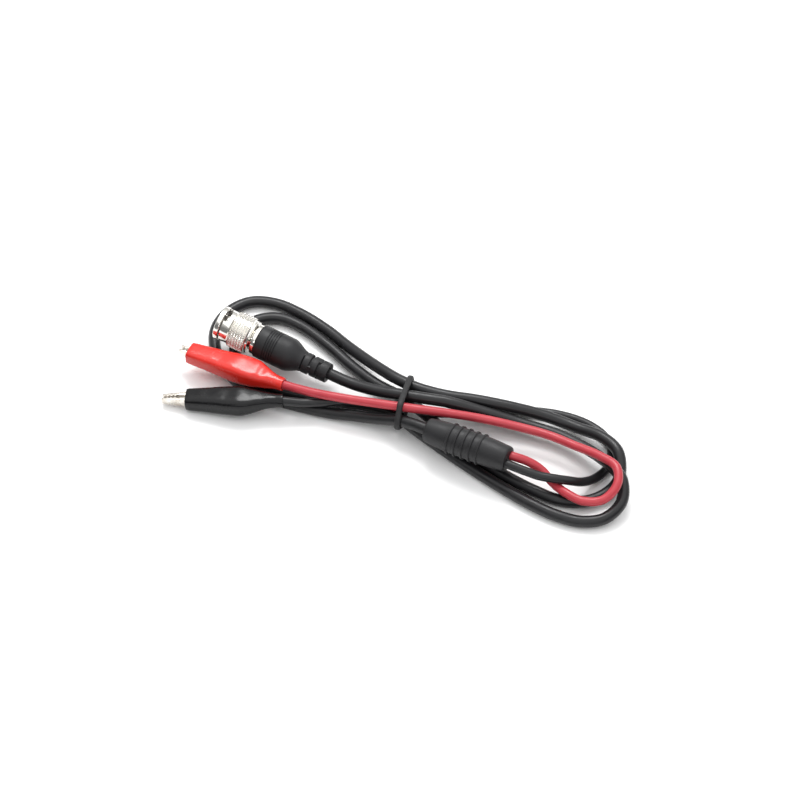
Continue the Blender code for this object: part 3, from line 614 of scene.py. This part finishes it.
def build_nut():
    """The coupling nut: a knurled band, and a sleeve in front of it with the bayonet slots."""
    rim, front, rear = RIM_AT, KNURL_FRONT_AT, NUT_REAR_AT
    band_low, band_high = rear + 1.3, front - KNURL_FADE
    profile = [(4.75, rear + 0.1), (4.85, rear), (6.45, rear), (6.6, rear + 0.12)]
    profile += [(6.6, rear + 0.75), (6.7, rear + 0.85), (NUT_RADIUS - 0.3, rear + 0.95)]
    rise = band_high - band_low
    band = [(NUT_RADIUS, band_low + rise * i / KNURL_ROWS) for i in range(KNURL_ROWS + 1)]
    profile += [(NUT_RADIUS - 0.05, band_low - 0.1)] + band + [(NUT_RADIUS - 0.08, band_high + 0.1)]
    profile += [(6.5, front + 0.45), (6.35, front + 0.6), (6.0, front + 0.62), (5.95, front + 0.4)]
    profile += [(5.9, rear + 1.3), (4.85, rear + 1.2), (4.75, rear + 1.1)]

    def radius_at(r, h, angle):
        if r < NUT_RADIUS - 0.001:
            return r
        edge = min(1.0, (h - band_low) / KNURL_FADE, (band_high - h) / KNURL_FADE)
        return r - KNURL_DEPTH * max(knurl(angle, h), 1 - max(edge, 0.0))

    knurled = turned("nut_knurl", profile, NICKEL, PLUG, "plug_coupling", KNURLS * 8, 25, radius_at)

    sleeve_profile = rounded([
        (5.3, rim), (6.45, rim), (6.64, rim - 0.2), (6.64, rim - 1.75), (6.5, rim - 1.9),
        (5.75, rim - 1.95), (5.75, rim - 2.4), (6.4, rim - 2.5), (6.4, front + 0.2),
        (6.0, front - 0.4), (5.2, front - 0.4), (4.92, front + 0.2), (4.92, rim - 0.4),
    ], 0.1, 2)
    sleeve = turned("nut_sleeve", sleeve_profile, NICKEL, PLUG, "plug_coupling", 144, 30)
    tools = []
    for i in range(2):
        start = 180 * i + BAYONET_START
        tools.append(bayonet_mesh(f"ramp_{i}", start))
        for label, at, low, high, half, outer in (
            ("entry", start, rim - 2.6, rim + 1, 1.0, 5.7),
            ("lock", start + BAYONET_TURN, rim - 4.7, rim - 1.8, 1.15, 7.4),
        ):
            corners = ((3.9, -half), (outer, -half), (outer, half), (3.9, half))
            tools.append(prism(f"{label}_{i}", corners, low, high, spun(PLUG, at)))
    cut(sleeve, tools)
    smooth(sleeve, 30)
    # Faces in the groove, the slots and the bore get the dark nickel: painted shade
    sleeve.data.materials.append(PAINTED_SHADE_NICKEL)
    to_plug = PLUG.inverted()
    for polygon in sleeve.data.polygons:
        middle = to_plug @ (polygon.center / MM)
        if math.hypot(middle.x, middle.y) < PAINTED_SHADE_WITHIN and middle.z < rim - PAINTED_SHADE_BELOW:
            polygon.material_index = 1
    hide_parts("coupling_nut")


def bayonet_mesh(name, start, spans=40):
    """A slot that winds round the sleeve, farther from the rim as it goes."""
    low, high = -SLOT_HALF_WIDTH, SLOT_HALF_WIDTH
    corners = ((SLOT_INNER, low), (SLOT_OUTER, low), (SLOT_OUTER, high), (SLOT_INNER, high))
    rings = []
    for i in range(spans + 1):
        share = i / spans
        angle = math.radians(start + BAYONET_TURN * share)
        height = RIM_AT - SLOT_DEPTH - SLOT_FALL * share
        rings.append([
            (r * math.cos(angle), r * math.sin(angle), height + up) for r, up in corners
        ])
    return grid_mesh(name, rings, cap_ends=True, shape=PLUG)


def build_plug_body():
    """The slotted contact, the flanges and the barrel, then the insulator and the pin."""
    profile = rounded([
        (3.5, 46.2), (3.9, 46.2), (4.1, 45.7), (4.1, 39.8), (5.6, 39.8), (5.6, 38.6), (4.4, 38.6),
        (4.4, 31.9), (5.7, 31.9), (6.0, 31.6), (6.0, 30.3), (3.2, 30.3), (3.2, 27.0),
        (1.75, 27.0), (1.75, 33.1), (3.5, 33.1),
    ], 0.1, 2)
    body = turned("plug_shell", profile, NICKEL, PLUG, "root", 96, 30)
    slit = ((-5, -0.25), (5, -0.25), (5, 0.25), (-5, 0.25))
    cut(body, [prism(f"slit_{i}", slit, 41.7, 47, spun(PLUG, 45 + 90 * i)) for i in range(2)])
    smooth(body, 30)
    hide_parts("plug_body")
    insulator = turned(
        "insulator", rounded([(0.95, 41.5), (3.2, 41.5), (3.2, 33.4), (0.95, 33.4)], 0.12, 3),
        PTFE, PLUG, "root", 64,
    )
    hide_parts("plug_insulator")
    tip = [(0, 44.5), (0.3, 44.44), (0.5, 44.2), (0.62, 43.9), (0.68, 43.5), (0.68, 31.6), (0, 31.6)]
    pin = solid_turned("contact_pin", tip, GOLD, PLUG)
    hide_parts("centre_pin")


def build_plug_boot():
    """The moulded boot: fine grooves on its grip, then a taper and a strain relief of collars."""
    side = [(6.15, 30.0), (6.5, 29.8), (6.55, 29.5)]
    for i in range(GROOVES):
        groove = GROOVE_FIRST_AT - GROOVE_PITCH * i
        side += [
            (6.55, groove + 0.28), (6.48, groove + 0.2), (6.2, groove + 0.12), (6.2, groove - 0.12),
            (6.48, groove - 0.2), (6.55, groove - 0.28),
        ]
    side += [
        (6.55, 17.6), (6.5, 17.0), (6.25, 16.0), (5.8, 14.9), (5.2, 13.7), (4.7, 12.8), (4.35, 12.0),
        (4.15, 11.3), (4.0, 10.95),
    ]
    for low, high, radius in ((7.8, 10.5, 4.1), (4.5, 7.0, 4.0), (0.0, 3.7, 3.9)):
        side += [
            (3.3, high + 0.12), (radius - 0.3, high), (radius - 0.08, high - 0.12),
            (radius, high - 0.4), (radius, low + 0.4), (radius - 0.08, low + 0.12),
            (radius - 0.3, low),
        ]
        if low > 0:
            side.append((3.3, low - 0.12))
    inside = [(2.45, 0.0), (2.45, 17.4), (3.6, 17.4), (3.6, 29.9)]
    boot = turned("plug_grip", side + inside, MOULDED_PVC, PLUG, "root", 128, 28)
    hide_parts("plug_boot")
    corners = ((3.0, -1.6), (3.95, -1.35), (3.95, 1.35), (3.0, 1.6))
    for i, (middle, first) in enumerate(((10.75, 20), (7.4, 110), (4.1, 20))):
        for j in range(2):
            name = f"boot_rib_{i}_{j}"
            turn = spun(PLUG, first + 180 * j)
            mesh = prism(name, corners, middle - 0.65, middle + 0.65, turn)
            rib = add_piece(name, mesh, MOULDED_PVC)
            round_edges(rib, RIB_BEVEL)


# Splitter


def build_splitter():
    """The moulded splitter: thin raised rings on a barrel, with rounded ends."""
    length = SPLITTER_LENGTH
    side = [
        (2.5, length), (4.2, length), (4.6, length - 0.15), (4.85, length - 0.55),
        (5.0, length - 1.2), (5.12, length - 3), (5.35, length - 6), (5.45, 25.2),
    ]
    for i in reversed(range(RINGS)):
        middle = RING_FIRST_AT + RING_PITCH * i
        side += [
            (5.5, middle + 0.62), (5.62, middle + 0.5), (5.98, middle + 0.36), (6.05, middle + 0.18),
            (6.05, middle - 0.18), (5.98, middle - 0.36), (5.62, middle - 0.5), (5.5, middle - 0.62),
        ]
    side += [(5.35, 7.6), (5.15, 5.2), (4.9, 2.8), (4.7, 1.2), (4.5, 0.4), (4.1, 0.05), (2.5, 0.0)]
    solid = [(0, length)] + side + [(0, 0)]

    body = solid_turned("splitter", solid, MOULDED_PVC, SPLITTER, steps=96, angle=30)
    tools = [prism("cable_hole", circle(COAX_RADIUS + HOLE_CLEARANCE, 64), -1, 3.5, SPLITTER)]
    lead_hole = circle(LEAD_RADIUS + HOLE_CLEARANCE, 48)
    for sign in (1, -1):
        shift = SPLITTER @ Matrix.Translation((0, sign * LEAD_SPACING / 2, 0))
        tools.append(prism(f"lead_hole_{sign + 1}", lead_hole, length - 3.5, length + 1, shift))
    for angle in (150, 128):
        turn = spun(SPLITTER, angle) @ Matrix.Translation((5.0, 0, DIMPLE_AT))
        turn = turn @ Matrix.Rotation(math.pi / 2, 4, "Y")
        tools.append(prism(f"dimple_{angle}", circle(DIMPLE_RADIUS, 20), 0, 2, turn))
    cut(body, tools)
    smooth(body, 30)
    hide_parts("splitter_body")


# Clips


# Sections of a boot: the place along it (0 is its neck, 1 the handles, 2 its mouth), its
# reaches on the moving half's side and on the other side, its half width, its squareness
BOOT_OUTSIDE = (
    (0.0, 2.5, 2.5, 2.5, 2.0),
    (0.03, 2.62, 2.62, 2.6, 2.0),
    (0.22, 2.65, 2.65, 2.6, 2.1),
    (0.45, 3.1, 3.05, 2.9, 2.4),
    (0.72, 4.4, 3.7, 3.3, 2.9),
    (1.0, 5.65, 4.4, 3.7, 3.2),
    (1.13, 5.8, 4.8, 3.9, 3.3),
    (1.28, 5.55, 4.8, 4.0, 3.3),
    (1.43, 5.15, 4.6, 3.9, 3.3),
    (1.62, 4.7, 4.3, 3.65, 3.4),
    (1.81, 4.3, 4.05, 3.35, 3.6),
    (1.96, 4.0, 3.85, 3.15, 3.8),
    (2.0, 3.85, 3.7, 3.0, 3.8),
)


def superellipse(x, top, bottom, half, power, side, count=64):
    """A ring of points round a boot at x: top and bottom are its reaches along Y."""
    ring = []
    for i in range(count):
        angle = math.tau * i / count
        c, s = math.cos(angle), math.sin(angle)
        reach = top if c > 0 else bottom
        y = reach * math.copysign(abs(c) ** (2 / power), c)
        z = half * math.copysign(abs(s) ** (2 / power), s)
        ring.append((x, side * y, z))
    return ring


def boot_row(clip, place, shrink):
    """The boot's section at a place along it, on a smooth curve through the stated ones."""
    rows = BOOT_OUTSIDE
    i = max(k for k in range(len(rows) - 1) if rows[k][0] <= place)
    t = (place - rows[i][0]) / (rows[i + 1][0] - rows[i][0])
    values = []
    for column in range(1, 5):
        p = [rows[min(max(i + k, 0), len(rows) - 1)][column] for k in (-1, 0, 1, 2)]
        slope_in = (p[2] - p[0]) / 2
        slope_out = (p[3] - p[1]) / 2
        value = (2 * t ** 3 - 3 * t ** 2 + 1) * p[1] + (t ** 3 - 2 * t ** 2 + t) * slope_in
        value += (3 * t ** 2 - 2 * t ** 3) * p[2] + (t ** 3 - t ** 2) * slope_out
        values.append(value)
    fade = math.sin(math.pi * min(1.0, place / 2)) ** 2
    wave = math.sin(7.0 * place + clip["side"]) + 0.6 * math.sin(17.0 * place + 2 * clip["side"])
    values[2] += 0.16 * fade * wave
    values[3] += 0.8 * fade
    neck, mouth = clip["neck_at"], clip["mouth_at"]
    if place < 1:
        x = neck + (HANDLE_AT - neck) * place
    else:
        x = HANDLE_AT + (mouth - HANDLE_AT) * (place - 1)
    far, near, half, power = values
    return x, far - shrink, near - shrink, half - shrink, power


def build_clip_boot(label, clip, mat):
    """The soft boot, open at the jaws' end."""
    side = clip["side"]
    places = [2 * i / 60 for i in range(61)]
    places = sorted(set(places + [0.01, 0.03, 0.06, 1.96, 1.985]))
    rings = [superellipse(*boot_row(clip, place, 0), side) for place in places]
    back = [place for place in reversed(places) if place > 0.45]
    rings += [superellipse(*boot_row(clip, place, BOOT_WALL), side) for place in back]
    neck = clip["neck_at"]
    for x in (neck + NECK_LENGTH, neck):
        rings.append(superellipse(x, NECK_RADIUS, NECK_RADIUS, NECK_RADIUS, 2.0, side))
    shape = clip_matrix(clip)
    mesh = grid_mesh(f"{label}_boot", rings, closed_rings=True, shape=shape)
    boot = add_piece(f"{label}_boot", mesh, mat, body=None)
    smooth(boot, 50)
    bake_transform(boot)
    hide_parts(f"{label}_clip_boot")


def build_spring(label, clip):
    """The torsion spring round the rivet."""
    side = clip["side"]
    half = COIL_HALF_WIDTH
    path = [(-7.0, -side * 1.45, -half), (-3.5, -side * 1.26, -half)]
    for i in range(17):
        share = i / 16
        angle = -side * math.pi / 2 + side * math.tau * COIL_TURNS * share
        across, up = COIL_RADIUS * math.cos(angle), COIL_RADIUS * math.sin(angle)
        path.append((across, up, 2 * half * share - half))
    path += [(-3.0, side * 1.7, half), (-5.4, side * 2.75, half)]
    shape = clip_matrix(clip)
    line = smooth_route([shape @ Vector(point) for point in path], per_span=8)
    name = f"{label}_torsion_spring"
    spring = tube_mesh_object(name, line, SPRING_WIRE_RADIUS, 10, 0.3, JAW_METAL, body=None)
    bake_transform(spring)
    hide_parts(f"{label}_spring")


# Tie


def crossings(line, radius):
    """Where a line crosses the tie's plane, as (sideways, height, radius) in that plane."""
    turn = math.radians(TIE_TURN)
    normal = Vector((math.cos(turn), math.sin(turn), 0))
    across = Vector((-math.sin(turn), math.cos(turn), 0))
    found = []
    for a, b in zip(line, line[1:]):
        before = (a - HANK_OFFSET).dot(normal) - TIE_AT
        after = (b - HANK_OFFSET).dot(normal) - TIE_AT
        if before * after < 0:
            point = a.lerp(b, before / (before - after)) - HANK_OFFSET
            found.append((point.dot(across), point.z, radius))
    return found


def hull(points):
    """The corners of the convex hull of 2-D points, in order."""
    ordered = sorted(points)
    chains = []
    for run in (ordered, ordered[::-1]):
        chain = []
        for x, y in run:
            while len(chain) > 1:
                (ax, ay), (bx, by) = chain[-2:]
                if (bx - ax) * (y - ay) - (by - ay) * (x - ax) > 0:
                    break
                chain.pop()
            chain.append((x, y))
        chains += chain[:-1]
    return chains


def build_tie(lines):
    """The rubber tie, tight round the strands that it holds."""
    strands = crossings(lines["coax"], COAX_RADIUS)
    strands += crossings(lines["red"], LEAD_RADIUS) + crossings(lines["black"], LEAD_RADIUS)
    rim = []
    for across, height, radius in strands:
        reach = radius + TIE_CLEARANCE + TIE_THICKNESS / 2
        rim += [(across + x, height + y) for x, y in circle(reach, 72)]
    outline = [Vector((0, y, z)) for y, z in hull(rim)]
    points = even_points(outline + outline[:1], 0.5)[:-1]
    wide = Vector((1, 0, 0))
    rings = []
    for i, point in enumerate(points):
        along = (points[(i + 1) % len(points)] - points[i - 1]).normalized()
        out = along.cross(wide)
        rings.append([
            point + wide * (TIE_WIDTH / 2 * x) + out * (TIE_THICKNESS / 2 * y)
            for x, y in circle(1, 20)
        ])
    place = spun(Matrix.Translation(HANK_OFFSET), TIE_TURN) @ Matrix.Translation((TIE_AT, 0, 0))
    tie = add_piece("tie", grid_mesh("tie", rings, closed_rings=True, shape=place), RUBBER)
    smooth(tie, 60)
    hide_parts("tie_ring")


# The CAD's own nodes


def finish_cad_nodes():
    """Gives each carried node its material, welds its faces and rounds its edges."""
    kept = {
        "wave_washer": NICKEL, "thrust_washer": NICKEL, "crimp_ferrule": NICKEL,
        "plug_gasket": RUBBER, "plug_dielectric": PTFE, "splitter_dielectric": PTFE,
        "coax_core_tail": COPPER, "coax_braid_tail": COPPER,
        "red_splice_sleeve": RUBBER, "black_splice_sleeve": RUBBER,
    }
    for label in CLIPS:
        kept[f"{label}_wire_end"] = COPPER
        for part in ("fixed_jaw", "moving_jaw", "rivet"):
            kept[f"{label}_{part}"] = JAW_METAL
    for name, mat in kept.items():
        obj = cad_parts[name]
        obj.data.materials.clear()
        obj.data.materials.append(mat)
        for polygon in obj.data.polygons:
            polygon.material_index = 0
        weld = obj.modifiers.new("weld", "WELD")
        weld.merge_threshold = 2e-6
        if name.endswith("_jaw"):
            bevel = round_edges(obj, JAW_BEVEL)
            bevel.limit_method = "ANGLE"
            bevel.angle_limit = math.radians(CREASE_ANGLE)
        smooth(obj, CREASE_ANGLE)


# Studio


def area_light(name, place, target, size, power):
    data = bpy.data.lights.new(name, "AREA")
    data.shape = "RECTANGLE"
    data.size, data.size_y = size
    data.energy = power
    light = add_object(name, data)
    light.location = place
    light.rotation_mode = "QUATERNION"
    light.rotation_quaternion = (Vector(target) - Vector(place)).to_track_quat("-Z", "Y")


def add_floor():
    floor_mesh = bpy.data.meshes.new("floor")
    body = bmesh.new()
    bmesh.ops.create_grid(body, x_segments=1, y_segments=1, size=3.0)
    body.to_mesh(floor_mesh)
    body.free()
    floor = add_object("floor", floor_mesh)
    floor.location.z = -0.0002
    floor_mesh.materials.append(Nodes("pale_floor", (0.93, 0.93, 0.93), 0.9).mat)


def add_world():
    """A sky that is bright above and behind the hank, and dim at its front."""
    world = bpy.data.worlds.new("studio")
    world.use_nodes = True
    tree = world.node_tree
    background = tree.nodes["Background"]
    background.inputs["Strength"].default_value = 1.0
    where = tree.nodes.new("ShaderNodeTexCoord").outputs["Generated"]
    lean = tree.nodes.new("ShaderNodeVectorMath")
    lean.operation = "DOT_PRODUCT"
    lean.inputs[1].default_value = (-0.1, 0.35, 0.93)
    tree.links.new(where, lean.inputs[0])
    sky = add_ramp(tree, lean.outputs["Value"], (0.15, 0.75), (0.2, 0.9))
    tree.links.new(sky, background.inputs["Color"])
    bpy.context.scene.world = world


def add_lights():
    area_light("key", (-0.25, 0.45, 0.85), (0, 0, 0), (0.45, 0.3), 5.5)
    area_light("top", (0.05, 0.05, 0.9), (0, 0, 0), (2.0, 2.0), 9.0)
    area_light("front", (0.3, -0.85, 0.5), (-0.03, 0, 0), (1.0, 0.1), 1.6)


add_camera()
cord_lines = add_cords()
build_nut()
build_plug_body()
build_plug_boot()
build_splitter()
for clip_label, boot_mat in (("red", RED_BOOT), ("black", BLACK_BOOT)):
    build_clip_boot(clip_label, CLIPS[clip_label], boot_mat)
    build_spring(clip_label, CLIPS[clip_label])
build_tie(cord_lines)
finish_cad_nodes()
add_floor()
add_world()
add_lights()
bpy.context.scene.view_settings.view_transform = "Standard"

bpy.context.view_layer.update()
